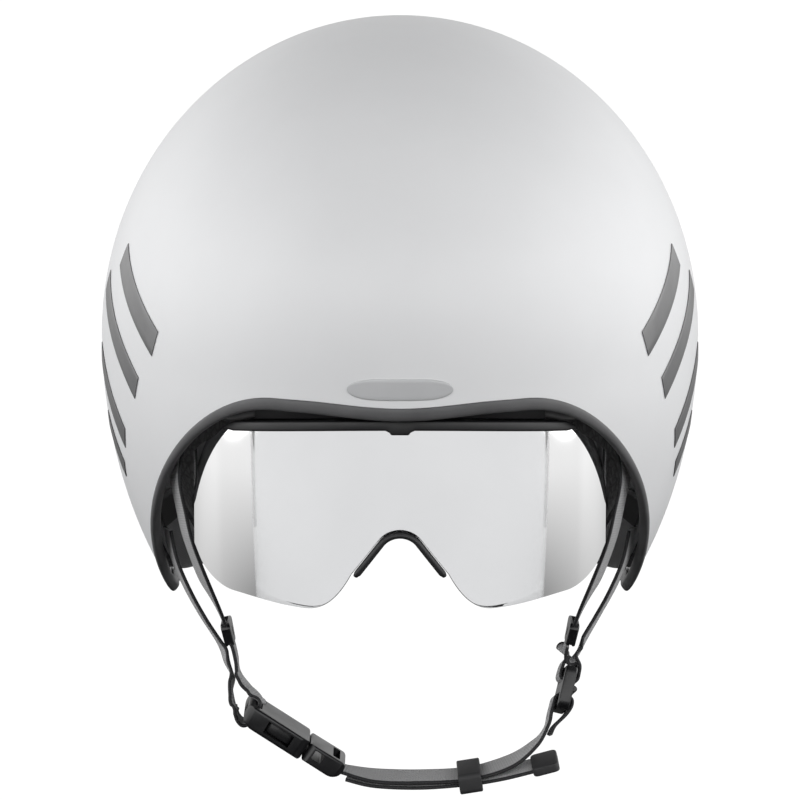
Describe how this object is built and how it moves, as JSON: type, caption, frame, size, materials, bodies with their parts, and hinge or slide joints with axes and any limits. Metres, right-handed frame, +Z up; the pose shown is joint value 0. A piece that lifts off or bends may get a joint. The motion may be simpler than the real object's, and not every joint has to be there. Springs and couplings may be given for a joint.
{
  "type": "time trial cycling helmet",
  "caption": "Smooth aerodynamic cycling helmet with side lobes over the ears, a clear pull-off visor, a dial-adjusted nape cradle and a webbing chin strap with a side-release buckle.",
  "frame": {"origin": "on the vertical axis of the wearer's head, at the level of the headform reference plane, where the head seats", "axes": "+Z up to the crown, -Y to the front where the face looks out, +X to the wearer's left"},
  "size_m": [0.2258, 0.2911, 0.2848],
  "materials": {
    "shell": "satin",
    "foam": "matte",
    "trim": "satin",
    "badge": "satin",
    "stripe": "satin",
    "magnet": "satin",
    "black_plastic": "satin",
    "pad": "matte",
    "lining": "matte",
    "webbing": "matte",
    "lens": "gloss",
    "nose_rubber": "matte",
    "buckle": "gloss",
    "soft_rubber": "matte",
    "dial": "satin"
  },
  "bodies": {
    "helmet": {"outer_shell": "shell", "eps_liner": "foam", "face_trim": "trim", "nape_trim": "trim", "brow_badge": "badge", "stripes_left": "stripe", "stripes_right": "stripe", "visor_dock": "black_plastic", "dock_magnets": "magnet", "lobe_lining_left": "lining", "lobe_lining_right": "lining", "brow_pad": "pad", "crown_pad": "pad", "temple_pad_left": "pad", "temple_pad_right": "pad", "cheek_pad_left": "pad", "cheek_pad_right": "pad", "front_anchor_left": "black_plastic", "front_anchor_right": "black_plastic", "rear_anchor_left": "black_plastic", "rear_anchor_right": "black_plastic", "webbing_front_left": "webbing", "webbing_front_right": "webbing", "webbing_rear_left": "webbing", "webbing_rear_right": "webbing", "divider_left": "buckle", "divider_right": "buckle", "webbing_lower_left": "webbing", "webbing_lower_right": "webbing", "ladder_lock": "buckle", "buckle_socket": "buckle", "cradle_housing": "black_plastic", "cradle_cover": "black_plastic", "nape_pad_left": "pad", "nape_pad_right": "pad", "band_pin_left": "black_plastic", "band_pin_right": "black_plastic", "band_left": "black_plastic", "band_right": "black_plastic", "chin_webbing": "webbing", "strap_tail": "webbing", "end_tab": "soft_rubber"},
    "visor": {"visor_lens": "lens", "visor_frame": "black_plastic", "visor_magnets": "magnet", "nose_bumper": "nose_rubber"},
    "dial": {"dial_knob": "dial", "dial_pinion": "black_plastic"},
    "left_rack": {"rack_left": "black_plastic"},
    "right_rack": {"rack_right": "black_plastic"},
    "plug": {"buckle_plug": "buckle"},
    "front_prong": {"prong_front": "buckle"},
    "rear_prong": {"prong_rear": "buckle"},
    "keeper": {"strap_keeper": "soft_rubber"}
  },
  "joints": [
    {"name": "visor_pull", "type": "slide", "parent": "helmet", "child": "visor", "axis": [0, -0.5, -0.866], "range_m": [0, 0.1]},
    {"name": "dial_turn", "type": "hinge", "parent": "helmet", "child": "dial", "pos_m": [0, 0.113, -0.0105], "axis": [0, 1, 0], "range_deg": [0, 150]},
    {"name": "rack_left_slide", "type": "slide", "parent": "helmet", "child": "left_rack", "axis": [1, 0, 0], "range_m": [0, 0.0106], "deforming": ["band_left"]},
    {"name": "rack_right_slide", "type": "slide", "parent": "helmet", "child": "right_rack", "axis": [-1, 0, 0], "range_m": [0, 0.0106], "deforming": ["band_right"]},
    {"name": "buckle_pull", "type": "slide", "parent": "helmet", "child": "plug", "axis": [0.8387, 0, -0.5446], "range_m": [0, 0.022], "deforming": ["chin_webbing", "strap_tail"]},
    {"name": "prong_front_squeeze", "type": "hinge", "parent": "plug", "child": "front_prong", "pos_m": [-0.03376, -0.0346, -0.12724], "axis": [-0.5446, 0, -0.8387], "range_deg": [0, 6]},
    {"name": "prong_rear_squeeze", "type": "hinge", "parent": "plug", "child": "rear_prong", "pos_m": [-0.03376, -0.0194, -0.12724], "axis": [0.5446, 0, 0.8387], "range_deg": [0, 6]},
    {"name": "keeper_slide", "type": "slide", "parent": "helmet", "child": "keeper", "axis": [0.9877, 0, 0.1564], "range_m": [-0.008, 0.008]}
  ],
  "couplings": [
    {"joint": "rack_left_slide", "follows": "dial_turn", "m_per_rad": 0.004},
    {"joint": "rack_right_slide", "follows": "dial_turn", "m_per_rad": 0.004},
    {"joint": "prong_rear_squeeze", "follows": "prong_front_squeeze", "ratio": 1}
  ]
}
